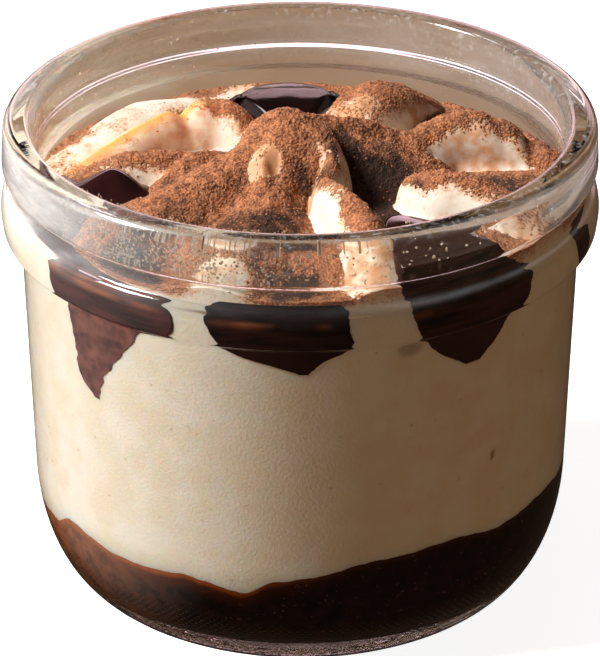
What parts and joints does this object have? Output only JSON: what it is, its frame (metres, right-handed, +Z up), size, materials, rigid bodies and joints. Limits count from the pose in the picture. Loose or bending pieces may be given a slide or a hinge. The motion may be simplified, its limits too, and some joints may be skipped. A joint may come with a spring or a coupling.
{
  "type": "tiramisu cup",
  "caption": "Layered tiramisu dessert in a clear glass preserving jar: coffee-soaked base, deep cream layer, piped cream swirl dusted with cocoa, and dark sauce running down inside the glass.",
  "frame": {"origin": "centre of the flat foot ring's plane, where the jar stands", "axes": "+Z up through the jar's mouth; -Y towards the shown front; +X to the right of it"},
  "size_m": [0.092, 0.092, 0.0779],
  "materials": {
    "glass": "clear pressed glass, polished",
    "soaked_sponge": "dark coffee-soaked sponge, moist",
    "cream": "smooth dense cream with fine tan flecks",
    "piped_cream": "smooth piped cream dusted with cocoa",
    "sauce": "glossy dark chocolate sauce"
  },
  "bodies": {
    "root": {"jar": "glass", "coffee_layer": "soaked_sponge", "cream_layer": "cream", "cream_swirl": "piped_cream", "sauce_left": "sauce", "sauce_front": "sauce", "sauce_right": "sauce", "sauce_far_right": "sauce", "sauce_rear": "sauce"}
  },
  "joints": []
}
